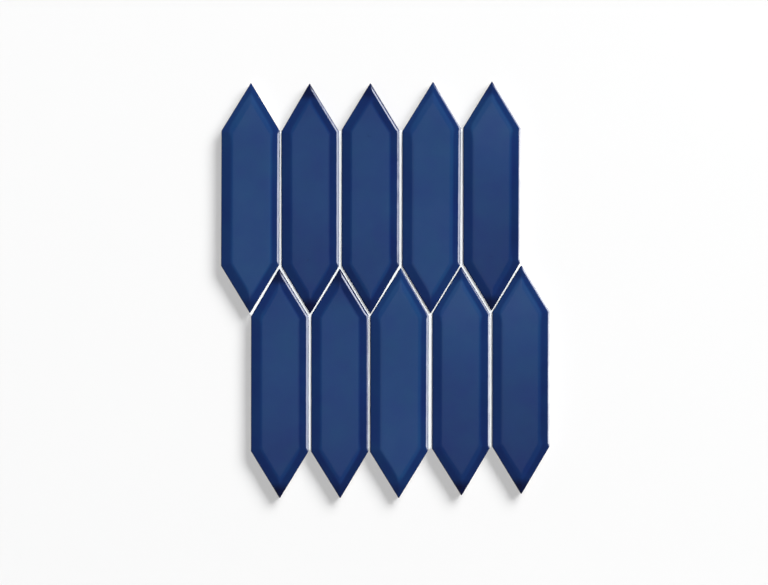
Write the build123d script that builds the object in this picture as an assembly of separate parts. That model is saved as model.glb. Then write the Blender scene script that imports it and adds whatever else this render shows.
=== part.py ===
from build123d import *
import math
import os

# A sheet of picket mosaic: ten bevelled picket tiles in two interlocking rows, held in place by a
# net glued across their backs. The sheet lies flat. X runs across the tiles, Y runs along them,
# Z points out of the glazed faces, and Z = 0 is the underside of the net. All sizes are millimetres.

os.makedirs("parts", exist_ok=True)

# One tile, seen from its face
TILE_WIDTH = 50.8
SIDE_LENGTH = 118.1
POINT_HEIGHT = 41.6
CORNER_RADIUS = 0.65

# One tile, seen from its end
TILE_THICKNESS = 8.2
BEVEL_WIDTH = 8.5
BEVEL_DROP = 2.0
BEVEL_BLEND_RADIUS = 16.0
ARRIS_WIDTH = 1.1
WALL_DRAFT = 2.5

# Key ribs on the back of a tile, left standing between shallow grooves
GROOVE_COUNT = 5
GROOVE_WIDTH = 4.4
RIB_WIDTH = 3.6
GROOVE_DEPTH = 0.6
GROOVE_DRAFT = 30.0

# The laid sheet
COLUMNS = 5
JOINT = 2.1

# The backing net: flat lengthwise yarns below, flat crosswise yarns fused on top of them
NET_PITCH = 10.5
YARN_WIDTH = 1.4
YARN_THICKNESS = 0.35
NET_INSET = 4.0
NET_NODES = ("backing_net_left", "backing_net_middle", "backing_net_right")

# How far each tile sits off its ideal place, from left to right, in widths of the joint:
# to the right, up the sheet, and how far its top point leans to the right
UPPER_DRIFT = (
    (0.17, -0.22, 0.17),
    (0.10, -0.50, 0.04),
    (0.10, -0.07, 0.08),
    (0.12, -0.37, 0.29),
    (0.27, 0.86, 0.17),
)
LOWER_DRIFT = (
    (0.00, -0.70, 0.04),
    (-0.05, -0.42, 0.04),
    (-0.66, -0.56, 0.17),
    (0.09, 0.58, 0.08),
    (-0.12, 1.40, 0.08),
)

# Worked out from the sizes above
TILE_LENGTH = SIDE_LENGTH + 2 * POINT_HEIGHT
SLANT_LENGTH = math.hypot(TILE_WIDTH / 2, POINT_HEIGHT)
EDGE_HEIGHT = TILE_THICKNESS - BEVEL_DROP
NET_THICKNESS = 2 * YARN_THICKNESS
COLUMN_PITCH = TILE_WIDTH + JOINT
ROW_PITCH = SIDE_LENGTH + POINT_HEIGHT + JOINT * (2 * SLANT_LENGTH - POINT_HEIGHT) / TILE_WIDTH


def picket_outline(grow=0.0):
    """The elongated hexagon, with every edge moved out by grow."""
    half_width = TILE_WIDTH / 2 + grow
    half_side = SIDE_LENGTH / 2 + grow * (SLANT_LENGTH - POINT_HEIGHT) / (TILE_WIDTH / 2)
    half_length = TILE_LENGTH / 2 + grow * SLANT_LENGTH / (TILE_WIDTH / 2)
    corners = (
        (0, half_length),
        (-half_width, half_side),
        (-half_width, -half_side),
        (0, -half_length),
        (half_width, -half_side),
        (half_width, half_side),
    )
    return make_face(Polyline(*corners, close=True))


def back_groove(index):
    """One shallow groove in the back, which stops short of the slanted edges."""
    spacing = GROOVE_WIDTH + RIB_WIDTH
    x = (index - (GROOVE_COUNT - 1) / 2) * spacing
    room = max(0.0, 1 - (abs(x) + spacing) / (TILE_WIDTH / 2))
    mouth = Pos(x, 0, 0) * Rectangle(GROOVE_WIDTH, SIDE_LENGTH + 2 * POINT_HEIGHT * room)
    return extrude(mouth, amount=GROOVE_DEPTH, taper=GROOVE_DRAFT)


def picket_tile():
    """One pressed tile, centred, with the ribs of its back at Z = 0."""
    outline = Pos(0, 0, EDGE_HEIGHT) * picket_outline()
    walls = extrude(outline, amount=EDGE_HEIGHT, dir=(0, 0, -1), taper=WALL_DRAFT)
    bevel_angle = math.degrees(math.atan2(BEVEL_WIDTH, BEVEL_DROP))
    tile = walls + extrude(outline, amount=BEVEL_DROP, taper=bevel_angle)

    flat_face = tile.faces().sort_by(Axis.Z)[-1]
    tile = fillet(flat_face.edges(), BEVEL_BLEND_RADIUS)
    arris = [edge for edge in tile.edges() if abs(edge.center().Z - EDGE_HEIGHT) < 0.01]
    tile = chamfer(arris, ARRIS_WIDTH)

    rounded = picket_outline()
    rounded = fillet(rounded.vertices(), CORNER_RADIUS)
    tile = tile & extrude(rounded, amount=TILE_THICKNESS)
    return tile - [back_groove(index) for index in range(GROOVE_COUNT)]


def ideal_place(row, column):
    """Centre of a tile in the ideal pattern: row 0 is the upper row, row 1 the lower one."""
    x = (column - (COLUMNS - 1) / 2 + (row - 0.5) / 2) * COLUMN_PITCH
    y = (0.5 - row) * ROW_PITCH
    return x, y


def laid_tiles():
    """Every tile of the sheet in its own place, by name."""
    tile = picket_tile()
    tiles = {}
    for row, (row_name, drifts) in enumerate((("upper", UPPER_DRIFT), ("lower", LOWER_DRIFT))):
        for column in range(COLUMNS):
            right, up, lean = (JOINT * share for share in drifts[column % len(drifts)])
            x, y = ideal_place(row, column)
            turn = -math.degrees(math.asin(lean / (TILE_LENGTH / 2)))
            place = Location((x + right, y + up, NET_THICKNESS), (0, 0, turn))
            tiles[f"picket_{row_name}_{column + 1}"] = place * tile
    return tiles


def net_outline():
    """The trimmed edge of the net, which follows the tiles and stays hidden behind them."""
    covered = Sketch()
    for row in range(2):
        for column in range(COLUMNS):
            covered += Pos(*ideal_place(row, column)) * picket_outline(grow=0.51 * JOINT)
    return offset(covered, -(NET_INSET + 0.51 * JOINT), kind=Kind.INTERSECTION)


def net_nodes():
    """The net, parted midway between two lengthwise yarns into nodes that meet face to face."""
    trim = extrude(net_outline(), amount=NET_THICKNESS)
    reach = trim.bounding_box().size
    lengthwise = int(reach.X // NET_PITCH)
    crosswise = int(reach.Y // NET_PITCH)
    share = math.ceil(lengthwise / len(NET_NODES))
    on_floor = (Align.CENTER, Align.CENTER, Align.MIN)

    nodes = {}
    for part, name in enumerate(NET_NODES):
        first = part * share
        last = min(first + share, lengthwise)
        yarns = []
        for index in range(first, last):
            x = (index - (lengthwise - 1) / 2) * NET_PITCH
            yarns.append(Pos(x, 0, 0) * Box(YARN_WIDTH, reach.Y, YARN_THICKNESS, align=on_floor))
        left = (first - lengthwise / 2) * NET_PITCH
        right = (last - lengthwise / 2) * NET_PITCH
        if first == 0:
            left = -reach.X / 2
        if last == lengthwise:
            right = reach.X / 2
        for index in range(crosswise):
            y = (index - (crosswise - 1) / 2) * NET_PITCH
            yarn = Box(right - left, YARN_WIDTH, YARN_THICKNESS, align=on_floor)
            yarns.append(Pos((left + right) / 2, y, YARN_THICKNESS) * yarn)
        woven = (Part() + yarns) & trim
        # yarn ends that were cut off beyond their last crossing are loose and fall away
        nodes[name] = woven.solids().sort_by(SortBy.VOLUME)[-1]
    return nodes


tiles = laid_tiles()
boxes = [tile.bounding_box() for tile in tiles.values()]
middle_x = (min(box.min.X for box in boxes) + max(box.max.X for box in boxes)) / 2
middle_y = (min(box.min.Y for box in boxes) + max(box.max.Y for box in boxes)) / 2
for name, piece in {**tiles, **net_nodes()}.items():
    export_step(Pos(-middle_x, -middle_y, 0) * piece, f"parts/{name}.step")
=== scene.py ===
import math

import bmesh
import bpy
import numpy as np
from bpy.props import FloatProperty, FloatVectorProperty, IntProperty, PointerProperty
from mathutils import Matrix, Vector, geometry


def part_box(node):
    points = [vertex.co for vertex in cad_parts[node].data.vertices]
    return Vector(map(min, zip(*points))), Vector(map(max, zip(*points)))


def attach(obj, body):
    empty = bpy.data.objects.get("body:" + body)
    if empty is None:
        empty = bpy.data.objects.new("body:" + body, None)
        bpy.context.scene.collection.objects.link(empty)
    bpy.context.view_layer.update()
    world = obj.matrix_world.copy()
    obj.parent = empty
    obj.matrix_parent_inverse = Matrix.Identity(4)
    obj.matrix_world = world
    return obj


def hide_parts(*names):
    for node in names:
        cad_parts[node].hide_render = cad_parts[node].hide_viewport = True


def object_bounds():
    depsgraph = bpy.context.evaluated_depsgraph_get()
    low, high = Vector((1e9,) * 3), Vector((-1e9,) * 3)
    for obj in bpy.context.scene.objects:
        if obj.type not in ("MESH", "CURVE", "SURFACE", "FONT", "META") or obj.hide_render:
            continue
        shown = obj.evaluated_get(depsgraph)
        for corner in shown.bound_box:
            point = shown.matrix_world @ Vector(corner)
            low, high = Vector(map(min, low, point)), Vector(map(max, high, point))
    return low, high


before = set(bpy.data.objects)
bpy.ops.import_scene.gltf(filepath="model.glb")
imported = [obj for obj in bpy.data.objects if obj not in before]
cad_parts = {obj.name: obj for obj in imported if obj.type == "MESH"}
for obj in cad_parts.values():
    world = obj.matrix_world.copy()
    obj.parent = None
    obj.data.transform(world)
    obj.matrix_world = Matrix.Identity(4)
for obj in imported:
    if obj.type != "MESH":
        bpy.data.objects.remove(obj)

bl_info = {
    "name": "Picket mosaic sheet",
    "version": (1, 0, 0),
    "blender": (4, 5, 0),
    "location": "3D View > Sidebar > Mosaic",
    "description": "Dresses a sheet of bevelled picket tiles on its backing net, and lights it",
    "category": "Object",
}

CAD_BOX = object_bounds()
TILE_NODES = sorted(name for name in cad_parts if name.startswith("picket_"))
NET_NODES = sorted(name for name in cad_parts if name.startswith("backing_net_"))
MM = 0.001


# Sizes and colours that a user would change


def length(name, description, default):
    """A length whose default is given in millimetres."""
    return FloatProperty(name=name, description=description, default=default * MM, unit="LENGTH")


def colour(name, description, default):
    return FloatVectorProperty(name=name, description=description, default=default, size=3, subtype="COLOR")


class TileSizes(bpy.types.PropertyGroup):
    width: length("Width", "Across the two long sides", 50.68)
    side: length("Side", "Straight part of a long side", 118.07)
    point: length("Point", "From the end of a long side to the tip", 41.5)
    corner: length("Corner radius", "Rounding of the outline's corners", 0.65)
    bevel: length("Bevel width", "From the edge to the flat face", 8.5)
    drop: length("Bevel drop", "How far the bevel falls to the edge", 2.0)
    blend: length("Bevel blend", "Softness of the line between bevel and face", 2.2)
    arris: length("Arris radius", "Rounding between bevel and wall", 1.5)
    draft: length("Wall draft", "How far the wall leans in at the back", 0.27)
    groove: length("Groove width", "Of the key grooves in the back", 4.4)
    rib: length("Rib width", "Left standing between two grooves", 3.6)
    depth: length("Groove depth", "Of the key grooves in the back", 0.6)
    waviness: length("Waviness", "Height of the slow waves in the fired face", 0.05)
    wave_length: length("Wave length", "Length of those waves", 22)


class GlazeColours(bpy.types.PropertyGroup):
    thin: colour("Thin", "Where the glaze lies thinnest", (0.0150, 0.0490, 0.156))
    face: colour("Face", "Glaze on the flat face", (0.0086, 0.0410, 0.1426))
    bevel: colour("Bevel", "Thicker glaze on the bevels", (0.0048, 0.0215, 0.1020))
    tip: colour("Tip", "Glaze pooled at a tip", (0.001, 0.002, 0.022))
    # Rim: pale rims of the right edges, glaze drawn thin over the arris with a painted highlight
    rim: colour("Rim", "Glaze drawn thin over the arris", (0.25, 0.275, 0.375))
    body: colour("Body", "Bare fired body below the glaze", (0.70, 0.65, 0.58))
    run_down: length("Glaze run", "How far the glaze runs down the wall", 3.4)


class NetSizes(bpy.types.PropertyGroup):
    strand: length("Strand", "Thickness of one strand", 0.27)
    twist: length("Twist", "Half width of a twisted pair of strands", 0.45)
    film_width: length("Adhesive width", "Of the adhesive film under a joint", 9.0)
    widest_joint: length("Widest joint", "The adhesive shows where a gap is narrower", 4.1)


class StageLook(bpy.types.PropertyGroup):
    floor: colour("Floor", "Colour of the floor", (0.80, 0.80, 0.80))
    scale: length("Scale", "Length on the sheet of one image pixel", 0.876)
    lens: FloatProperty(name="Lens", description="Focal length", default=135.0, unit="CAMERA")
    seed: IntProperty(name="Seed", description="Starts everything that varies from tile to tile", default=7)


# Helpers


def put(name, data):
    """A new object in the scene."""
    piece = bpy.data.objects.new(name, data)
    bpy.context.scene.collection.objects.link(piece)
    return piece


def mesh_from(bm, name):
    """The finished mesh of bm."""
    mesh = bpy.data.meshes.new(name)
    bm.to_mesh(mesh)
    bm.free()
    return mesh


def add_node(tree, kind, **settings):
    node = tree.nodes.new(kind)
    for name, value in settings.items():
        setattr(node, name, value)
    return node


def math_node(tree, operation, *values, clamp=False):
    node = add_node(tree, "ShaderNodeMath", operation=operation, use_clamp=clamp)
    for index, value in enumerate(values):
        plug(tree, value, node.inputs[index])
    return node.outputs[0]


def times(tree, first, second):
    return math_node(tree, "MULTIPLY", first, second)


def plug(tree, value, socket):
    """Links a socket, or sets a plain value."""
    if isinstance(value, bpy.types.NodeSocket):
        tree.links.new(value, socket)
    else:
        socket.default_value = value


def mix_colour(tree, factor, first, second):
    node = add_node(tree, "ShaderNodeMix", data_type="RGBA")
    plug(tree, factor, node.inputs[0])
    plug(tree, first, node.inputs[6])
    plug(tree, second, node.inputs[7])
    return node.outputs[2]


def ramp_between(tree, value, low, high):
    """0 below low, 1 above high, smooth between."""
    node = add_node(tree, "ShaderNodeMapRange", interpolation_type="SMOOTHSTEP")
    plug(tree, value, node.inputs["Value"])
    node.inputs["From Min"].default_value = low
    node.inputs["From Max"].default_value = high
    return node.outputs["Result"]


def attribute(tree, name):
    return add_node(tree, "ShaderNodeAttribute", attribute_name=name).outputs["Fac"]


def rgba(tone):
    return (*tone, 1.0)


def clouds_group():
    """Soft cloudy variation, used in the glaze, the fired body, the adhesive and the floor."""
    tree = bpy.data.node_groups.new("Clouds", "ShaderNodeTree")
    for name, default in (("Size", 0.02), ("Detail", 2.0), ("Seed", 0.0), ("Contrast", 1.0)):
        socket = tree.interface.new_socket(name, in_out="INPUT", socket_type="NodeSocketFloat")
        socket.default_value = default
    tree.interface.new_socket("Value", in_out="OUTPUT", socket_type="NodeSocketFloat")
    inlet = add_node(tree, "NodeGroupInput")
    outlet = add_node(tree, "NodeGroupOutput")
    link = tree.links.new
    place = add_node(tree, "ShaderNodeTexCoord").outputs["Object"]
    noise = add_node(tree, "ShaderNodeTexNoise", noise_dimensions="4D")
    link(place, noise.inputs["Vector"])
    link(inlet.outputs["Seed"], noise.inputs["W"])
    link(inlet.outputs["Detail"], noise.inputs["Detail"])
    link(math_node(tree, "DIVIDE", 1.0, inlet.outputs["Size"]), noise.inputs["Scale"])
    centred = math_node(tree, "SUBTRACT", noise.outputs["Fac"], 0.5)
    spread = times(tree, centred, inlet.outputs["Contrast"])
    link(math_node(tree, "ADD", spread, 0.5, clamp=True), outlet.inputs["Value"])
    return tree


def clouds(tree, size, detail=2.0, seed=0.0, contrast=1.0):
    group = bpy.data.node_groups.get("Clouds") or clouds_group()
    node = add_node(tree, "ShaderNodeGroup", node_tree=group)
    for socket, value in zip(node.inputs, (size, detail, seed, contrast)):
        plug(tree, value, socket)
    return node.outputs["Value"]


def swing(tree, strength, **look):
    """Clouds that swing to both sides of zero."""
    centred = math_node(tree, "SUBTRACT", clouds(tree, **look), 0.5)
    return times(tree, centred, strength)


def new_material(name):
    material = bpy.data.materials.new(name)
    material.use_nodes = True
    shader = material.node_tree.nodes["Principled BSDF"]
    return material, material.node_tree, shader


def bump(tree, shader, height, distance):
    node = add_node(tree, "ShaderNodeBump")
    node.inputs["Distance"].default_value = distance
    plug(tree, height, node.inputs["Height"])
    plug(tree, node.outputs["Normal"], shader.inputs["Normal"])


# Materials


# The depth of glaze at which each of its colours is full: thin, face, bevel and tip
GLAZE_LEVELS = (-0.4, 0.0, 1.0, 2.0)

# A rim painted nearly white, glaze all but gone with a painted highlight, and the darker specks of the fired
# body
PALE_RIM_HIGHLIGHT = (0.74, 0.75, 0.80)
BODY_SHADE = (0.59, 0.54, 0.47)

GLAZE_ROUGHNESS = 0.055
BODY_ROUGHNESS = 0.85
GLAZE_IOR = 1.5


def glazed_tile_material(colours):
    """Blue glaze over a pale body: paler where it lies thin, darker where it has gathered, with pale rims on
    the right edges that are thin glaze and painted highlight.
    """
    material, tree, shader = new_material("blue_glaze_on_pale_body")
    link = tree.links.new
    edge = attribute(tree, "edge_distance")
    depth = attribute(tree, "glaze_depth")
    thin = attribute(tree, "thin_glaze_highlight")

    depth = math_node(tree, "ADD", depth, swing(tree, 0.22, size=0.030, seed=1.3, contrast=2.0))
    depth = math_node(tree, "ADD", depth, swing(tree, 0.10, size=0.007, seed=4.0, contrast=1.5))
    deepening = add_node(tree, "ShaderNodeValToRGB")
    ramp = deepening.color_ramp
    ramp.interpolation = "LINEAR"
    thinnest, deepest = GLAZE_LEVELS[0], GLAZE_LEVELS[-1]
    while len(ramp.elements) < len(GLAZE_LEVELS):
        ramp.elements.new(0.5)
    tones = (colours.thin, colours.face, colours.bevel, colours.tip)
    for element, level, tone in zip(ramp.elements, GLAZE_LEVELS, tones):
        element.position = (level - thinnest) / (deepest - thinnest)
        element.color = rgba(tone)
    share = math_node(tree, "DIVIDE", math_node(tree, "ADD", depth, -thinnest), deepest - thinnest)
    link(share, deepening.inputs["Fac"])

    tint = add_node(tree, "ShaderNodeHueSaturation")
    hue = swing(tree, 0.010, size=0.018, detail=1.0, seed=7.0, contrast=2.0)
    link(math_node(tree, "ADD", hue, 0.5), tint.inputs["Hue"])
    link(deepening.outputs["Color"], tint.inputs["Color"])

    # Pale rims: glaze drawn thin over the arris and a painted highlight, strongest on the right edges,
    # nearly white at the palest
    uneven = swing(tree, 0.5, size=0.010, seed=11.0, contrast=1.5)
    uneven = times(tree, uneven, ramp_between(tree, thin, 0.0, 0.3))
    thin = math_node(tree, "ADD", thin, uneven)
    rim = mix_colour(tree, ramp_between(tree, thin, 1.1, 2.0), rgba(colours.rim), rgba(PALE_RIM_HIGHLIGHT))
    glaze_tone = mix_colour(tree, ramp_between(tree, thin, 0.1, 0.9), tint.outputs["Color"], rim)

    drip = times(tree, clouds(tree, size=0.006, detail=3.0, seed=9.0), 1.4 * MM)
    reach = math_node(tree, "ADD", edge, drip)
    glazed = ramp_between(tree, reach, -colours.run_down + 0.3 * MM, -colours.run_down + 1.0 * MM)
    specks = clouds(tree, size=0.004, detail=4.0, seed=2.0, contrast=1.5)
    body_tone = mix_colour(tree, specks, rgba(colours.body), rgba(BODY_SHADE))
    plug(tree, mix_colour(tree, glazed, body_tone, glaze_tone), shader.inputs["Base Color"])

    gloss = add_node(tree, "ShaderNodeMapRange")
    link(glazed, gloss.inputs["Value"])
    gloss.inputs["To Min"].default_value = BODY_ROUGHNESS
    gloss.inputs["To Max"].default_value = GLAZE_ROUGHNESS
    smear = times(tree, clouds(tree, size=0.02, detail=3.0, seed=6.0), 0.03)
    plug(tree, math_node(tree, "ADD", gloss.outputs["Result"], smear), shader.inputs["Roughness"])
    shader.inputs["IOR"].default_value = GLAZE_IOR

    bare = math_node(tree, "SUBTRACT", 1.0, glazed)
    grain = times(tree, clouds(tree, size=0.0009, detail=3.0, seed=5.0), bare)
    peel = times(tree, clouds(tree, size=0.0045, detail=1.0, seed=8.0), 0.35)
    bump(tree, shader, math_node(tree, "ADD", grain, peel), 0.08 * MM)
    return material


def white_material(name, pale, shaded, patches, roughness, grain, depth):
    """A white material. Patches and grain hold size, detail, seed and contrast of their clouds."""
    material, tree, shader = new_material(name)
    tone = mix_colour(tree, clouds(tree, *patches), rgba(pale), rgba(shaded))
    plug(tree, tone, shader.inputs["Base Color"])
    shader.inputs["Roughness"].default_value = roughness
    bump(tree, shader, clouds(tree, *grain), depth)
    return material


def yarn_material():
    """White coated glass-fibre yarn."""
    return white_material(
        "white_net_yarn",
        pale=(0.90, 0.90, 0.88),
        shaded=(0.76, 0.76, 0.73),
        patches=(0.002, 3.0, 3.0, 1.6),
        roughness=0.42,
        grain=(0.0003, 3.0, 1.0),
        depth=0.04 * MM,
    )


def adhesive_material():
    """White adhesive that has dried in the joints and around the yarns."""
    return white_material(
        "white_adhesive",
        pale=(0.90, 0.93, 0.95),
        shaded=(0.84, 0.87, 0.89),
        patches=(0.012, 3.0, 5.0, 1.5),
        roughness=0.5,
        grain=(0.0016, 3.0, 2.0),
        depth=0.06 * MM,
    )


def floor_material(look):
    material, tree, shader = new_material("pale_floor")
    tone = clouds(tree, size=0.4, seed=5.0)
    paler = tuple(min(1.0, part * 1.02) for part in look.floor)
    plug(tree, mix_colour(tree, tone, rgba(look.floor), rgba(paler)), shader.inputs["Base Color"])
    shader.inputs["Roughness"].default_value = 0.9
    shader.inputs["Specular IOR Level"].default_value = 0.1
    return material


# Tiles


# The start and the end of an edge that stays in line. A tile's six edges are given anticlockwise, from the
# right one and the upper right one on
IN_LINE = (0.0, 0.0)


def crossing(first, second):
    """Where two lines meet, each of them given by two points."""
    run, other = first[1] - first[0], second[1] - second[0]
    return first[0] + run * (second[0] - first[0]).cross(other) / run.cross(other)


def hexagon_corners(tile, inset, spread=6 * (IN_LINE,)):
    """Corners of the tile's outline, anticlockwise from the lower right, with every edge moved in by inset.

    Spread says by how many millimetres the start and the end of each edge stand out.
    """
    half_width = tile.width / 2
    slant = math.hypot(half_width, tile.point)
    x = half_width - inset
    y = tile.side / 2 - inset * (slant - tile.point) / half_width
    tip = tile.side / 2 + tile.point - inset * slant / half_width
    corners = [Vector(c) for c in ((x, -y), (x, y), (0, tip), (-x, y), (-x, -y), (0, -tip))]
    lines = []
    for index, (first, last) in enumerate(spread):
        start, end = corners[index], corners[(index + 1) % 6]
        run = (end - start).normalized()
        outward = Vector((run.y, -run.x)) * MM
        lines.append((start + outward * first, end + outward * last))
    return [crossing(lines[index - 1], lines[index]) for index in range(6)]


LONG_STEPS = 48
SLANT_STEPS = 20
CORNER_STEPS = 6
EDGE_STEPS = 2 * (LONG_STEPS, SLANT_STEPS, SLANT_STEPS)


def rounded_ring(tile, inset, radius, spread):
    """The outline moved in by inset, its corners rounded: the same number of points for every ring."""
    corners = hexagon_corners(tile, inset, spread)
    slant = (corners[2] - corners[1]).length
    radius = min(radius, 0.45 * slant)
    arcs = []
    for index, corner in enumerate(corners):
        come = (corner - corners[index - 1]).normalized()
        go = (corners[(index + 1) % 6] - corner).normalized()
        turn = math.atan2(come.x * go.y - come.y * go.x, come.dot(go))
        normal = Vector((come.y, -come.x))
        middle = corner - come * radius * math.tan(turn / 2) - normal * radius
        arc = []
        for step in range(CORNER_STEPS + 1):
            arc.append(middle + Matrix.Rotation(turn * step / CORNER_STEPS, 2) @ normal * radius)
        arcs.append(arc)
    ring = []
    for arc, after, steps in zip(arcs, arcs[1:] + arcs[:1], EDGE_STEPS):
        ring += arc
        ring += [arc[-1].lerp(after[0], step / steps) for step in range(1, steps)]
    return ring


def crown_height(tile, thickness, inset):
    """Height of the pressed face above the back, at a distance in from the edge."""
    ahead = tile.bevel - inset
    soft = 0.5 * (ahead + np.sqrt(ahead * ahead + tile.blend * tile.blend))
    return thickness - soft * tile.drop / tile.bevel


# How many points of a ring share in the change from one edge's value to the next one's
SHORT_EASE = 3
LONG_EASE = 11


def around(edges, ease=SHORT_EASE):
    """A value for every point of a ring, from one for each edge, the right one and on anticlockwise."""
    values = []
    repeats = []
    for index, (value, steps) in enumerate(zip(edges, EDGE_STEPS)):
        values += [(edges[index - 1] + value) / 2] + [value] * (steps - 1)
        repeats += [CORNER_STEPS + 1] + [1] * (steps - 1)
    weights = np.hanning(ease) / np.hanning(ease).sum()
    half = ease // 2
    eased = np.convolve(np.concatenate((values[-half:], values, values[:half])), weights, "valid")
    return np.repeat(eased, repeats)


# The wall's foot is broken by this much, and above it the wall has a ring at each of these shares
WALL_FOOT = 0.35 * MM
WALL_SHARES = (0.0, 0.3, 0.65)

# Then come the rings of the arris, three to where all points of a ring lie equally deep in the face, close
# ones until the blend has levelled out, and wide ones up to the innermost, at this share of the tile's width
ARRIS_RINGS = 10
EQUAL_FROM = 5.0 * MM
CLOSE_STEP = 0.7 * MM
BLEND_REACH = 2.6 * MM
WIDE_RINGS = 6
WIDE_STEP = 1.5 * MM
INNERMOST = 0.46


def face_rings(tile, thickness, radii):
    """Rings from the foot of the wall to the middle of the face: inset and height at every point."""
    whole = np.ones(len(radii))
    sweep = math.pi / 2 - math.atan2(tile.drop, tile.bevel)
    arc_inset = radii * (1 - math.cos(sweep))
    arc_base = crown_height(tile, thickness, arc_inset) - radii * math.sin(sweep)
    rings = [(whole * (tile.draft + WALL_FOOT), whole * 0.0)]
    for share in WALL_SHARES:
        rings.append((whole * tile.draft * (1 - share), WALL_FOOT + (arc_base - WALL_FOOT) * share))
    for angle in np.linspace(0.0, sweep, ARRIS_RINGS):
        rings.append((radii * (1 - math.cos(angle)), arc_base + radii * math.sin(angle)))
    insets = [arc_inset + (EQUAL_FROM - arc_inset) * share for share in (0.25, 0.5, 0.75)]
    close = np.arange(EQUAL_FROM, tile.bevel + BLEND_REACH, CLOSE_STEP)
    wide = np.linspace(close[-1] + WIDE_STEP, INNERMOST * tile.width, WIDE_RINGS)
    insets += [whole * inset for inset in (*close, *wide)]
    return rings + [(inset, crown_height(tile, thickness, inset)) for inset in insets]


def ring_points(tile, inset, spread):
    """The rounded outline, every point moved in by its own distance."""
    def ring(distance):
        ring = rounded_ring(tile, distance, tile.corner + 0.06 * distance, spread)
        return np.array([tuple(point) for point in ring])

    if np.ptp(inset) == 0:
        return ring(inset[0])
    outer = ring(0.0)
    return outer + (ring(MM) - outer) * inset[:, None] / MM


# Places along a tile where its kind gives the depth of glaze, from the lower tip at -1 to the upper one at 1
STATIONS = (-0.92, -0.86, -0.62, 0.0, 0.62, 0.86, 0.90)

# How much deeper the glaze lies along the right edge, the upper right one and on anticlockwise
EDGE_DEPTH = (1.15, 1.22, 0.83, 0.88, 0.95, 1.12)

# The lower right arris is sharper than the others, and the pale rim, thin glaze with a painted highlight, is
# faint on all but the two right ones
SHARP_ARRIS = 0.35
FAINT_RIM = 0.1

# The soft inner border of a dark band, from and to these shares of its width
BAND_BORDER = (0.84, 1.26)

# The soft borders of a pale rim, thin glaze with a painted highlight: the inner one before the end of the
# arris, the outer one from the lip on
RIM_INNER = (-1.55 * MM, -0.75 * MM)
RIM_OUTER = 0.4 * MM

# Towards a tip, from and to these shares of half a tile, the edges grow alike and the pale rims end
EDGES_ALIKE = (0.82, 0.92)
RIMS_END = (0.94, 0.98)


def between(value, low, high):
    """0 below low, 1 above high, straight between."""
    return np.clip((value - low) / (high - low), 0.0, 1.0)


def glaze_depth(tile, firing, inset, along):
    """How thick the glaze lies: 0 on an ordinary face, 1 on an ordinary bevel, 2 where it has pooled."""
    on_face = np.interp(along, STATIONS, firing["face"])
    on_rim = np.interp(along, STATIONS, firing["rim"])
    on_rim *= 1 + (around(EDGE_DEPTH, LONG_EASE) - 1) * (1 - between(np.abs(along), *EDGES_ALIKE))
    band = tile.bevel * around(firing["bands"], LONG_EASE)
    share = between(inset / band, *BAND_BORDER)
    share = share * share * (3 - 2 * share)
    return on_rim + (on_face - on_rim) * share


def thin_glaze_highlight(firing, inset, along, radii):
    """How pale the rim over the arris is, thin glaze with a painted highlight: 0 is covered, 1 pale, 2
    nearly white.
    """
    rims = ((firing["right"][part], firing["upper_right"][part]) for part in (1, 2))
    strength, lip = (around(rim + 4 * (FAINT_RIM,)) for rim in rims)
    inner = 1 - between(inset - radii, *RIM_INNER)
    outer = between(inset, lip * MM, lip * MM + RIM_OUTER)
    away_from_tips = 1 - between(np.abs(along), *RIMS_END)
    return strength * inner * outer * away_from_tips


GROOVE_COUNT = 5
GROOVE_DRAFT = math.radians(30)


def back_grooves(tile):
    """The key grooves in the back: low and high corner of the mouth of each."""
    spacing = tile.groove + tile.rib
    grooves = []
    for index in range(GROOVE_COUNT):
        x = (index - (GROOVE_COUNT - 1) / 2) * spacing
        room = max(0.0, 1 - (abs(x) + spacing) / (tile.width / 2))
        reach = tile.side / 2 + tile.point * room
        grooves.append((x - tile.groove / 2, -reach, x + tile.groove / 2, reach))
    return grooves


def rectangle(low_x, low_y, high_x, high_y):
    return [(low_x, low_y), (low_x, high_y), (high_x, high_y), (high_x, low_y)]


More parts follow.
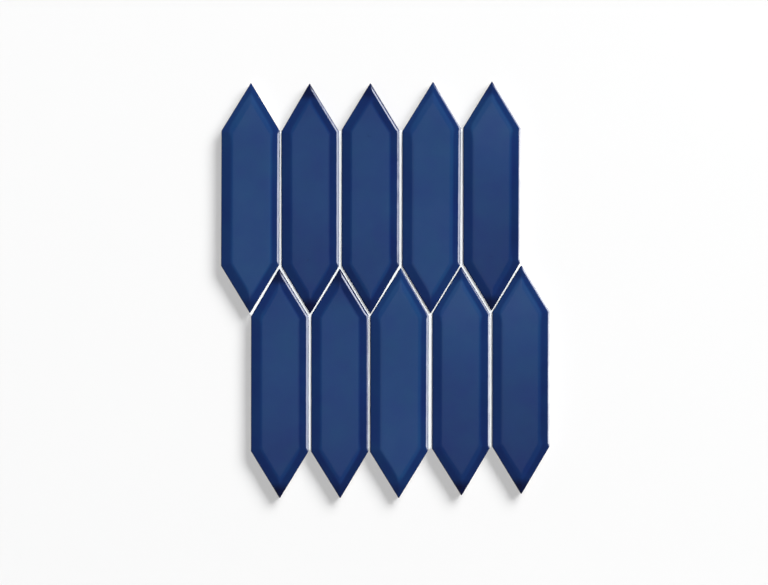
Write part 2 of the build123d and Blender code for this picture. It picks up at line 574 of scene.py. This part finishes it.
def tile_mesh(tile, thickness, firing, spread):
    """One pressed tile around the origin, its back at Z = 0, with the attributes that its glaze reads."""
    bm = bmesh.new()
    rings, distances, depths, rim_highlights = [], [], [], []
    right, upper_right = firing["right"][0] * MM, firing["upper_right"][0] * MM
    radii = around((right, upper_right) + 3 * (tile.arris,) + (SHARP_ARRIS * tile.arris,))
    rings_in = face_rings(tile, thickness, radii)
    wall_top = rings_in[len(WALL_SHARES) + 1][1]
    for inset, height in rings_in:
        points = ring_points(tile, inset, spread)
        rings.append([bm.verts.new((*point, z)) for point, z in zip(points, height)])
        distances += list(np.where(height < wall_top, height - wall_top, inset))
        along = points[:, 1] / (tile.side / 2 + tile.point)
        depths += list(glaze_depth(tile, firing, inset, along))
        rim_highlights += list(thin_glaze_highlight(firing, inset, along, radii) * (height >= wall_top))
    count = len(rings[0])
    for lower, upper in zip(rings, rings[1:]):
        for index in range(count):
            after = (index + 1) % count
            bm.faces.new((lower[index], lower[after], upper[after], upper[index]))

    # the innermost ring is closed straight across, right side to left side
    inner = rings[-1]
    top = 2 * (CORNER_STEPS + 1) + LONG_STEPS + SLANT_STEPS - 2 + CORNER_STEPS // 2
    for step in range(count // 2):
        a, b = inner[(top - step) % count], inner[(top - step - 1) % count]
        c, d = inner[(top + step + 1) % count], inner[(top + step) % count]
        corners = list(dict.fromkeys((b, a, d, c)))
        if len(corners) > 2:
            bm.faces.new(corners)

    # the back is flat between its grooves
    loops = [[vert.co.copy() for vert in rings[0]]]
    back_verts = list(rings[0])
    for low_x, low_y, high_x, high_y in back_grooves(tile):
        lean = tile.depth * math.tan(GROOVE_DRAFT)
        mouth = rectangle(low_x, low_y, high_x, high_y)
        floor = rectangle(low_x + lean, low_y + lean, high_x - lean, high_y - lean)
        mouth = [bm.verts.new((x, y, 0.0)) for x, y in mouth]
        floor = [bm.verts.new((x, y, tile.depth)) for x, y in floor]
        loops.append([vert.co.copy() for vert in mouth])
        back_verts += mouth
        distances += [-thickness] * 8
        depths += [1.0] * 8
        rim_highlights += [0.0] * 8
        for index in range(4):
            after = (index + 1) % 4
            bm.faces.new((mouth[index], mouth[after], floor[after], floor[index])).smooth = False
        bm.faces.new(floor).smooth = False
    back_faces = []
    for corners in geometry.tessellate_polygon(loops):
        back_faces.append(bm.faces.new([back_verts[index] for index in corners]))

    bm.normal_update()
    bmesh.ops.recalc_face_normals(bm, faces=bm.faces)
    for face in bm.faces:
        face.smooth = face.normal.z > -0.5 and face.calc_center_median().z > 0.05 * MM
    for edge in bm.edges:
        edge.smooth = all(face.smooth for face in edge.link_faces)
    mesh = mesh_from(bm, "picket")
    for name, values in (("edge_distance", distances), ("glaze_depth", depths), ("thin_glaze_highlight", rim_highlights)):
        mesh.attributes.new(name, "FLOAT", "POINT").data.foreach_set("value", values)
    return mesh


def tile_place(node):
    """Where a packed tile lies: the middle of its back, its thickness and its turn about Z."""
    low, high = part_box(node)
    middle = (low + high) / 2
    points = np.array([vert.co[:2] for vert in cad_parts[node].data.vertices]) - middle[:2]
    xx, yy, xy = (points[:, a] @ points[:, b] for a, b in ((0, 0), (1, 1), (0, 1)))
    turn = 0.5 * math.atan2(-2 * xy, yy - xx)
    return Vector((middle.x, middle.y, low.z)), high.z - low.z, turn


def geometry_tree(name, **inputs):
    """A tree of geometry nodes with named inputs, given for each kind of socket, and its inlet."""
    tree = bpy.data.node_groups.new(name, "GeometryNodeTree")
    tree.interface.new_socket("Geometry", in_out="INPUT", socket_type="NodeSocketGeometry")
    for kind, labels in inputs.items():
        for label in labels:
            tree.interface.new_socket(label, in_out="INPUT", socket_type="NodeSocket" + kind)
    tree.interface.new_socket("Geometry", in_out="OUTPUT", socket_type="NodeSocketGeometry")
    return tree, add_node(tree, "NodeGroupInput")


def end_tree(tree, made, material):
    """Ends the tree in plain geometry with its material set."""
    link = tree.links.new
    realize = add_node(tree, "GeometryNodeRealizeInstances")
    link(made, realize.inputs[0])
    finish = add_node(tree, "GeometryNodeSetMaterial")
    link(realize.outputs[0], finish.inputs["Geometry"])
    link(material, finish.inputs["Material"])
    link(finish.outputs[0], add_node(tree, "NodeGroupOutput").inputs[0])


def fired_face_tree():
    """Geometry nodes: slow waves in the fired face, and the tile's material."""
    tree, inlet = geometry_tree("Fired face", Float=("Waviness", "Wave Length", "Seed"), Material=("Glaze",))
    link = tree.links.new
    noise = add_node(tree, "ShaderNodeTexNoise", noise_dimensions="4D")
    link(add_node(tree, "GeometryNodeInputPosition").outputs[0], noise.inputs["Vector"])
    link(inlet.outputs["Seed"], noise.inputs["W"])
    link(math_node(tree, "DIVIDE", 1.0, inlet.outputs["Wave Length"]), noise.inputs["Scale"])
    noise.inputs["Detail"].default_value = 1.0
    named = add_node(tree, "GeometryNodeInputNamedAttribute", data_type="FLOAT")
    named.inputs["Name"].default_value = "edge_distance"
    weight = add_node(tree, "ShaderNodeMapRange")
    link(named.outputs[0], weight.inputs["Value"])
    weight.inputs["From Min"].default_value = 0.5 * MM
    weight.inputs["From Max"].default_value = 5.0 * MM
    fall = times(tree, noise.outputs[0], inlet.outputs["Waviness"])
    fall = times(tree, fall, weight.outputs["Result"])
    offset = add_node(tree, "ShaderNodeCombineXYZ")
    link(times(tree, fall, -1.0), offset.inputs["Z"])

    move = add_node(tree, "GeometryNodeSetPosition")
    link(inlet.outputs["Geometry"], move.inputs["Geometry"])
    link(offset.outputs[0], move.inputs["Offset"])
    end_tree(tree, move.outputs[0], inlet.outputs["Glaze"])
    return tree


def baked(name, data, tree, **inputs):
    """A new object whose mesh is what a geometry node tree makes of data."""
    source = put(name + "_source", data)
    modifier = source.modifiers.new("Geometry", "NODES")
    modifier.node_group = tree
    sockets = {item.name: item.identifier for item in tree.interface.items_tree if item.in_out == "INPUT"}
    for key, value in inputs.items():
        modifier[sockets[key.replace("_", " ").title()]] = value
    evaluated = source.evaluated_get(bpy.context.evaluated_depsgraph_get())
    mesh = bpy.data.meshes.new_from_object(evaluated)
    mesh.name = name
    bpy.data.objects.remove(source)
    return put(name, mesh)


# Four kinds of tile came out of the kiln. For each: the depth of glaze at the stations, on the face and on
# the rim; the width of the dark band along the edges, as a share of the bevel; and for the right and the
# upper right edge the radius of the arris in millimetres, how pale its rim is, thin glaze with a painted
# highlight, and how many millimetres from the wall the glaze closes again
FIRINGS = {
    "even": {
        # Near its upper tip this face is painted paler, a painted sheen where the bevel's slope mirrors less
        # light
        "face": (1.30, 0.00, -0.05, 0.00, 0.00, -0.28, -0.20),
        "rim": (1.30, 0.88, 0.86, 0.95, 0.72, 0.66, 0.75),
        "bands": (0.76, 0.56, 0.50, 1.06, 1.02, 0.72),
        "right": (3.0, 1.3, 0.3),
        "upper_right": (0.25, 0.0, 0.0),
    },
    "dark_tips": {
        "face": (1.90, 0.65, 0.66, 0.20, 0.20, 0.50, 1.95),
        "rim": (1.90, 1.10, 1.05, 1.00, 1.04, 1.14, 1.80),
        "bands": (1.00, 0.88, 0.76, 1.03, 0.88, 0.73),
        "right": (3.3, 1.0, -0.4),
        "upper_right": (3.3, 0.65, 0.35),
    },
    "dark_top": {
        "face": (1.45, 0.50, 0.40, 0.13, 0.17, 0.70, 1.65),
        "rim": (1.45, 1.15, 1.15, 0.97, 1.07, 1.25, 1.65),
        "bands": (0.93, 0.98, 0.87, 0.95, 0.71, 0.70),
        "right": (3.15, 0.65, -0.4),
        "upper_right": (3.65, 1.0, 1.1),
    },
    "pale_top": {
        "face": (1.95, 0.95, 0.80, 0.36, -0.32, -0.40, 0.05),
        "rim": (1.85, 1.12, 1.10, 1.05, 0.85, 0.80, 1.20),
        "bands": (0.94, 0.70, 0.54, 0.97, 0.68, 0.60),
        "right": (2.55, 1.6, -0.4),
        "upper_right": (2.2, 1.4, -0.4),
    },
}
LAID = {
    "upper": ("even", "dark_tips", "dark_top", "even", "pale_top"),
    "lower": ("dark_tips", "dark_top", "even", "pale_top", "pale_top"),
}

# By how many millimetres the start and the end of each edge of the single tiles stand out
SPREADS = {
    "picket_upper_1": ((0.50, 0.50), (0.45, 0.80), IN_LINE, IN_LINE, (0.25, 0.20), (0.55, 0.15)),
    "picket_upper_2": (IN_LINE, IN_LINE, (1.00, 0.00), (0.00, -0.20), (0.05, 0.20), (0.45, 0.00)),
    "picket_upper_3": (IN_LINE, IN_LINE, (0.45, 0.35), IN_LINE, (0.55, 0.70), (0.90, 0.15)),
    "picket_upper_4": ((0.65, 0.65), (2.00, 2.25), IN_LINE, (0.15, -0.35), IN_LINE, (0.70, 0.35)),
    "picket_upper_5": (IN_LINE, IN_LINE, IN_LINE, (-0.20, -0.55), IN_LINE, (0.70, 0.00)),
    "picket_lower_1": (IN_LINE, IN_LINE, (1.00, 0.00), IN_LINE, IN_LINE, IN_LINE),
    "picket_lower_2": ((-0.35, -0.35), IN_LINE, (0.30, 0.30), IN_LINE, (0.50, 0.15), (0.50, 0.05)),
    "picket_lower_3": ((0.65, 0.65), (0.95, 1.75), (-0.40, 0.00), (0.00, -0.25), (0.35, 0.00), (0.35, 0.25)),
    "picket_lower_4": (IN_LINE, IN_LINE, IN_LINE, IN_LINE, (0.30, -0.30), (0.70, 0.00)),
    "picket_lower_5": (IN_LINE, IN_LINE, (-0.45, -0.40), (-0.20, -0.25), IN_LINE, (0.90, 0.05)),
}

# Edges of single tiles whose pale rim, thin glaze with a painted highlight, is drawn in another way than on
# the rest of their kind
RIMS = {
    "picket_upper_4": {"upper_right": (2.10, 0.9, -0.4)},
    "picket_upper_5": {"upper_right": (2.0, 1.15, -0.4)},
    "picket_lower_2": {"right": (2.45, 0.65, -0.4)},
    "picket_lower_3": {"upper_right": (1.70, 0.8, -0.4)},
    "picket_lower_4": {"upper_right": (2.4, 0.55, 0.15)},
}


class MOSAIC_OT_tiles(bpy.types.Operator):
    """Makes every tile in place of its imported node"""

    bl_idname = "mosaic.tiles"
    bl_label = "Make tiles"

    def execute(self, context):
        tile = context.scene.mosaic_tile
        glaze = glazed_tile_material(context.scene.mosaic_glaze)
        tree = fired_face_tree()
        for number, node in enumerate(TILE_NODES):
            base, thickness, turn = tile_place(node)
            row, column = node.split("_")[1:]
            firing = {**FIRINGS[LAID[row][int(column) - 1]], **RIMS.get(node, {})}
            mesh = tile_mesh(tile, thickness, firing, SPREADS[node])
            mesh.transform(Matrix.Translation(base) @ Matrix.Rotation(turn, 4, "Z"))
            piece = baked(
                node.replace("picket", "tile"),
                mesh,
                tree,
                waviness=tile.waviness,
                wave_length=tile.wave_length,
                seed=float(context.scene.mosaic_stage.seed + number),
                glaze=glaze,
            )
            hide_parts(node)
            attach(piece, "root")
        return {"FINISHED"}


# Backing net


STRAND_SIDES = 6


def yarn_runs(along, level):
    """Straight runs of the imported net's yarns at one level: place across, start and end of each."""
    spans = {}
    for node in NET_NODES:
        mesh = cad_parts[node].data
        for face in mesh.polygons:
            corners = [mesh.vertices[index].co for index in face.vertices]
            if max(abs(corner.z - level) for corner in corners) > 0.01 * MM:
                continue
            sides = [corner[1 - along] for corner in corners]
            ends = [corner[along] for corner in corners]
            place = round((min(sides) + max(sides)) / 2, 4)
            spans.setdefault(place, []).append((min(ends), max(ends)))
    runs = []
    for place, pieces in sorted(spans.items()):
        pieces.sort()
        start, end = pieces[0]
        for low, high in pieces[1:]:
            if low > end + 0.05 * MM:
                runs.append((place, start, end))
                start, end = low, high
            end = max(end, high)
        runs.append((place, start, end))
    return runs


def run_curves(name, runs, along, height):
    """The runs as one curve of straight splines."""
    data = bpy.data.curves.new(name, "CURVE")
    data.dimensions = "3D"
    for place, start, end in runs:
        spline = data.splines.new("POLY")
        spline.points.add(1)
        for point, reach in zip(spline.points, (start, end)):
            spot = [0.0, 0.0, height, 1.0]
            spot[along] = reach
            spot[1 - along] = place
            point.co = spot
    return data


def paired_strands_tree():
    """Geometry nodes: each spline becomes two strands, side by side or twisted round each other."""
    tree, inlet = geometry_tree(
        "Paired strands",
        Float=("Pitch", "Offset", "Spread", "Sway", "Rise", "Thickness", "Step"),
        Vector=("Along", "Across"),
        Material=("Yarn",),
    )
    link = tree.links.new
    resample = add_node(tree, "GeometryNodeResampleCurve", mode="LENGTH")
    link(inlet.outputs["Geometry"], resample.inputs["Curve"])
    link(inlet.outputs["Step"], resample.inputs["Length"])

    place = add_node(tree, "GeometryNodeInputPosition").outputs[0]
    travel = add_node(tree, "ShaderNodeVectorMath", operation="DOT_PRODUCT")
    link(place, travel.inputs[0])
    link(inlet.outputs["Along"], travel.inputs[1])
    from_crossing = math_node(tree, "SUBTRACT", travel.outputs["Value"], inlet.outputs["Offset"])
    crossings = math_node(tree, "DIVIDE", from_crossing, inlet.outputs["Pitch"])
    phase = times(tree, crossings, math.pi)
    sideways = times(tree, math_node(tree, "SINE", phase), inlet.outputs["Sway"])
    sideways = math_node(tree, "ADD", sideways, inlet.outputs["Spread"])
    upwards = times(tree, math_node(tree, "COSINE", phase), inlet.outputs["Rise"])

    join = add_node(tree, "GeometryNodeJoinGeometry")
    for sign in (1.0, -1.0):
        side = add_node(tree, "ShaderNodeVectorMath", operation="SCALE")
        link(inlet.outputs["Across"], side.inputs[0])
        link(times(tree, sideways, sign), side.inputs["Scale"])
        lift = add_node(tree, "ShaderNodeCombineXYZ")
        link(times(tree, upwards, sign), lift.inputs["Z"])
        total = add_node(tree, "ShaderNodeVectorMath", operation="ADD")
        link(side.outputs[0], total.inputs[0])
        link(lift.outputs[0], total.inputs[1])
        move = add_node(tree, "GeometryNodeSetPosition")
        link(resample.outputs[0], move.inputs["Geometry"])
        link(total.outputs[0], move.inputs["Offset"])
        link(move.outputs[0], join.inputs[0])

    circle = add_node(tree, "GeometryNodeCurvePrimitiveCircle", mode="RADIUS")
    circle.inputs["Resolution"].default_value = STRAND_SIDES
    link(math_node(tree, "DIVIDE", inlet.outputs["Thickness"], 2.0), circle.inputs["Radius"])
    sweep = add_node(tree, "GeometryNodeCurveToMesh")
    sweep.inputs["Fill Caps"].default_value = True
    link(join.outputs[0], sweep.inputs["Curve"])
    link(circle.outputs[0], sweep.inputs["Profile Curve"])
    smooth = add_node(tree, "GeometryNodeSetShadeSmooth")
    link(sweep.outputs[0], smooth.inputs[0])
    end_tree(tree, smooth.outputs[0], inlet.outputs["Yarn"])
    return tree


def net_levels():
    """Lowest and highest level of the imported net."""
    boxes = [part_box(node) for node in NET_NODES]
    return min(low.z for low, high in boxes), max(high.z for low, high in boxes)


class MOSAIC_OT_net(bpy.types.Operator):
    """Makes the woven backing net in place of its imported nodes"""

    bl_idname = "mosaic.net"
    bl_label = "Make backing net"

    def execute(self, context):
        net = context.scene.mosaic_net
        yarn = yarn_material()
        tree = paired_strands_tree()
        low, high = net_levels()
        middle = (low + high) / 2
        lengthwise = yarn_runs(1, low)
        crosswise = yarn_runs(0, high)
        rows = sorted({run[0] for run in crosswise})
        pitch = (rows[-1] - rows[0]) / (len(rows) - 1)
        rise = (high - low - net.strand) / 2 - 0.01 * MM
        shared = {"pitch": pitch, "thickness": net.strand, "yarn": yarn}
        warp = baked(
            "net_warp", run_curves("net_warp", lengthwise, 1, middle), tree,
            offset=rows[0], spread=0.0, sway=net.twist, rise=rise, step=pitch / 6,
            along=(0.0, 1.0, 0.0), across=(1.0, 0.0, 0.0), **shared,
        )
        weft = baked(
            "net_weft", run_curves("net_weft", crosswise, 0, middle), tree,
            offset=0.0, spread=0.55 * net.strand, sway=0.12 * net.strand, rise=0.0, step=pitch / 3,
            along=(1.0, 0.0, 0.0), across=(0.0, 1.0, 0.0), **shared,
        )
        both = bmesh.new()
        for part in (warp, weft):
            both.from_mesh(part.data)
            bpy.data.objects.remove(part)
        mesh = mesh_from(both, "backing_net")
        mesh.materials.append(yarn)
        piece = put("backing_net", mesh)
        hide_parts(*NET_NODES)
        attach(piece, "root")
        return {"FINISHED"}


# Adhesive film


def placed_corners(tile, node):
    """The corners of a placed tile's outline."""
    base, _, turn = tile_place(node)
    turned = Matrix.Rotation(turn, 2)
    return [turned @ corner + base.xy for corner in hexagon_corners(tile, 0.0)]


def joint_lines(tile):
    """The middle line of every joint between two neighbouring tiles."""
    rows = {}
    for node in TILE_NODES:
        rows.setdefault(node.split("_")[1], []).append(placed_corners(tile, node))
    upper, lower = rows["upper"], rows["lower"]
    lines = []
    for row in (upper, lower):
        for left, right in zip(row, row[1:]):
            lines.append(((left[0] + right[4]) / 2, (left[1] + right[3]) / 2))
    for top, below in zip(upper, lower):
        lines.append(((top[5] + below[3]) / 2, (top[0] + below[2]) / 2))
    for top, below in zip(upper[1:], lower):
        lines.append(((top[4] + below[2]) / 2, (top[5] + below[1]) / 2))
    return lines


def draw_back(lines, distance):
    """The lines, shortened at each end that meets no other line."""
    shortened = []
    for line in lines:
        others = [end for other in lines if other is not line for end in other]
        start, end = line
        pull = (end - start).normalized() * distance
        if min((start - other).length for other in others) > distance:
            start = start + pull
        if min((end - other).length for other in others) > distance:
            end = end - pull
        shortened.append((start, end))
    return shortened


def distance_to_lines(points, lines):
    """Distance from each point to the nearest of the lines."""
    nearest = np.full(points.shape[:-1], np.inf)
    for start, end in lines:
        run = np.array(end - start)
        share = np.clip(((points - np.array(start)) @ run) / (run @ run), 0.0, 1.0)
        gap = points - (np.array(start) + share[..., None] * run)
        nearest = np.minimum(nearest, np.hypot(gap[..., 0], gap[..., 1]))
    return nearest


def distance_to_outline(points, corners):
    """Distance from each point to a tile's outline, negative below the tile."""
    edges = list(zip(corners, corners[1:] + corners[:1]))
    outside = np.full(points.shape[:-1], -np.inf)
    for start, end in edges:
        run = (end - start).normalized()
        outside = np.maximum(outside, (points - np.array(start)) @ np.array((run.y, -run.x)))
    return np.sign(outside) * distance_to_lines(points, edges)


# The film's grid, how far its rim wavers and runs on below a tile, and how far it stays from tiles and floor
FILM_STEP = 1.0 * MM
FILM_WAVER = 0.8 * MM
FILM_OVERLAP = 0.4 * MM
FILM_BELOW_TILES = 0.03 * MM
FILM_ABOVE_FLOOR = 0.05 * MM


class MOSAIC_OT_adhesive(bpy.types.Operator):
    """Spreads the adhesive film that holds the net, along every joint"""

    bl_idname = "mosaic.adhesive"
    bl_label = "Spread adhesive"

    def execute(self, context):
        tile = context.scene.mosaic_tile
        net = context.scene.mosaic_net
        low, high = net_levels()
        lines = draw_back(joint_lines(tile), net.film_width / 2)
        ends = np.array([end for line in lines for end in line])
        start, stop = ends.min(axis=0) - net.film_width, ends.max(axis=0) + net.film_width
        columns, rows = np.ceil((stop - start) / FILM_STEP).astype(int) + 1
        grid_x, grid_y = np.meshgrid(np.arange(columns), np.arange(rows), indexing="ij")
        points = start + FILM_STEP * np.stack((grid_x, grid_y), axis=-1)
        waves = FILM_WAVER * np.sin(points[..., 0] / (9 * MM) + 2 * np.sin(points[..., 1] / (13 * MM)))
        level = distance_to_lines(points, lines) - net.film_width / 2 + waves

        # it shows only between two tiles, and stays hidden where the joints end
        to_tiles = [distance_to_outline(points, placed_corners(tile, node)) for node in TILE_NODES]
        first, second = np.partition(to_tiles, 1, axis=0)[:2]
        level = np.maximum(level, np.minimum(first + FILM_OVERLAP, first + second - net.widest_joint))

        # the film's rim is where the level passes through zero, between two points of the grid
        bm = bmesh.new()
        verts = {}

        def vert(a, b, top):
            key = (*sorted((a, b)), top)
            if key not in verts:
                share = 0.0 if a == b else level[a] / (level[a] - level[b])
                x, y = points[a] + (points[b] - points[a]) * share
                height = high - FILM_BELOW_TILES if top else low + FILM_ABOVE_FLOOR
                if top and a != b:
                    height -= 0.3 * (high - low)
                verts[key] = bm.verts.new((x, y, height))
            return verts[key]

        inside = level < 0
        touched = inside[:-1, :-1] | inside[1:, :-1] | inside[1:, 1:] | inside[:-1, 1:]
        for i, j in zip(*np.nonzero(touched)):
            square = ((i, j), (i + 1, j), (i + 1, j + 1), (i, j + 1))
            ring = []
            for a, b in zip(square, square[1:] + square[:1]):
                if inside[a]:
                    ring.append((a, a))
                if inside[a] != inside[b]:
                    ring.append((a, b))
            bm.faces.new([vert(a, b, True) for a, b in ring])
            bm.faces.new([vert(a, b, False) for a, b in reversed(ring)])
            for (a, b), (c, d) in zip(ring, ring[1:] + ring[:1]):
                if a != b and c != d:
                    bm.faces.new((vert(a, b, False), vert(c, d, False), vert(c, d, True), vert(a, b, True)))
        for face in bm.faces:
            face.smooth = True
        mesh = mesh_from(bm, "joint_adhesive")
        mesh.materials.append(adhesive_material())
        piece = put("joint_adhesive", mesh)
        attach(piece, "root")
        return {"FINISHED"}


# Stage


# The picture and the middle of the sheet in it, in pixels
IMAGE_WIDTH = 768
IMAGE_HEIGHT = 585
SHEET_MIDDLE_X = 385.35
SHEET_MIDDLE_Y = 289.7

FLOOR_REACH = 14.0
FLOOR_GAP = 0.02 * MM
SENSOR_WIDTH = 36.0


def light_from(place, name, kind, **settings):
    """A light that shines from a place towards the sheet."""
    data = bpy.data.lights.new(name, kind)
    for key, value in settings.items():
        setattr(data, key, value)
    light = put(name, data)
    light.location = place
    light.rotation_euler = (-Vector(place)).to_track_quat("-Z", "Y").to_euler()
    return light


def panel_light(name, place, width, height, radiance, shape="RECTANGLE"):
    """A flat soft light of a given brightness, never seen itself."""
    area = width * height * (math.pi / 4 if shape == "ELLIPSE" else 1.0)
    energy = radiance * math.pi * area
    light = light_from(place, name, "AREA", shape=shape, size=width, size_y=height, energy=energy)
    light.visible_camera = False
    return light


def sky_light(name, strength, angle, place=(0.0, 0.0, 1.0)):
    """An even light from one side of the sky, so wide across in degrees, that no glaze mirrors."""
    light = light_from(place, name, "SUN", energy=strength, angle=math.radians(angle))
    light.visible_glossy = False
    return light


def from_sky(azimuth, zenith, distance):
    """A place seen from the sheet at an azimuth from +X and an angle from straight up, both in degrees."""
    a, z = math.radians(azimuth), math.radians(zenith)
    return Vector((math.cos(a) * math.sin(z), math.sin(a) * math.sin(z), math.cos(z))) * distance


class MOSAIC_OT_stage(bpy.types.Operator):
    """Sets the floor, the lights and the camera"""

    bl_idname = "mosaic.stage"
    bl_label = "Set stage"

    def execute(self, context):
        look = context.scene.mosaic_stage
        scene = context.scene
        bm = bmesh.new()
        bmesh.ops.create_grid(bm, x_segments=8, y_segments=8, size=FLOOR_REACH)
        mesh = mesh_from(bm, "floor")
        mesh.transform(Matrix.Translation((0.0, 0.0, CAD_BOX[0][2] - FLOOR_GAP)))
        mesh.materials.append(floor_material(look))
        floor = put("floor", mesh)

        place = from_sky(azimuth=50, zenith=64.5, distance=20.0)
        key = panel_light("key_softbox", place, width=18.0, height=7.6, radiance=18.4, shape="ELLIPSE")
        key.visible_glossy = False
        wash = sky_light("ceiling_wash", strength=1.55, angle=60)
        wash.data.use_shadow = False
        panel_light("ceiling_sheen", (0.0, 0.0, 2.4), width=0.9, height=1.0, radiance=0.26)
        for name, azimuth, zenith, height, radiance in (
            ("right_strip", 1, 62, 1.7, 3.0),
            ("upper_right_strip", 31.4, 60, 1.5, 5.0),
        ):
            place = from_sky(azimuth, zenith, distance=2.3)
            strip = panel_light(name, place, width=0.62, height=height, radiance=radiance)
            strip.visible_diffuse = False

        # a light that only reaches the joints, where the tiles stand in the way of all others
        joint_light = sky_light("joint_light", strength=2.1, angle=7, place=from_sky(50, 12, 1.0))
        lit = bpy.data.collections.new("lit_joints")
        for name in ("joint_adhesive", "backing_net"):
            lit.objects.link(bpy.data.objects[name])
        joint_light.light_linking.receiver_collection = lit

        world = bpy.data.worlds.new("studio")
        world.use_nodes = True
        background = world.node_tree.nodes["Background"]
        background.inputs["Color"].default_value = (1.0, 1.0, 1.0, 1.0)
        background.inputs["Strength"].default_value = 0.10
        scene.world = world

        data = bpy.data.cameras.new("camera")
        data.lens = look.lens
        data.sensor_width = SENSOR_WIDTH
        camera = put("camera", data)
        frame_width = IMAGE_WIDTH * look.scale
        distance = frame_width * look.lens / SENSOR_WIDTH
        centre_x = (IMAGE_WIDTH / 2 - SHEET_MIDDLE_X) * look.scale
        centre_y = (SHEET_MIDDLE_Y - IMAGE_HEIGHT / 2) * look.scale
        camera.location = (centre_x, centre_y, CAD_BOX[1][2] + distance)
        data.clip_end = 20.0
        scene.camera = camera
        scene.view_settings.view_transform = "Standard"
        return {"FINISHED"}


# Panel and registration


class MOSAIC_PT_sheet(bpy.types.Panel):
    """Lists the sheet's sizes, colours and steps"""

    bl_idname = "MOSAIC_PT_sheet"
    bl_label = "Picket mosaic sheet"
    bl_space_type = "VIEW_3D"
    bl_region_type = "UI"
    bl_category = "Mosaic"

    def draw(self, context):
        for group, operator in (
            (context.scene.mosaic_tile, "mosaic.tiles"),
            (context.scene.mosaic_glaze, None),
            (context.scene.mosaic_net, "mosaic.net"),
            (context.scene.mosaic_stage, "mosaic.stage"),
        ):
            box = self.layout.box()
            for name in group.bl_rna.properties.keys():
                if name not in ("rna_type", "name"):
                    box.prop(group, name)
            if operator:
                box.operator(operator)
        self.layout.operator("mosaic.adhesive")


GROUPS = {
    "mosaic_tile": TileSizes,
    "mosaic_glaze": GlazeColours,
    "mosaic_net": NetSizes,
    "mosaic_stage": StageLook,
}
OPERATORS = (MOSAIC_OT_tiles, MOSAIC_OT_net, MOSAIC_OT_adhesive, MOSAIC_OT_stage)
CLASSES = (*GROUPS.values(), *OPERATORS, MOSAIC_PT_sheet)


def register():
    for cls in CLASSES:
        bpy.utils.register_class(cls)
    for name, group in GROUPS.items():
        setattr(bpy.types.Scene, name, PointerProperty(type=group))


def unregister():
    for name in GROUPS:
        delattr(bpy.types.Scene, name)
    for cls in reversed(CLASSES):
        bpy.utils.unregister_class(cls)


def main():
    register()
    bpy.ops.mosaic.tiles()
    bpy.ops.mosaic.net()
    bpy.ops.mosaic.adhesive()
    bpy.ops.mosaic.stage()


if __name__ == "__main__":
    main()
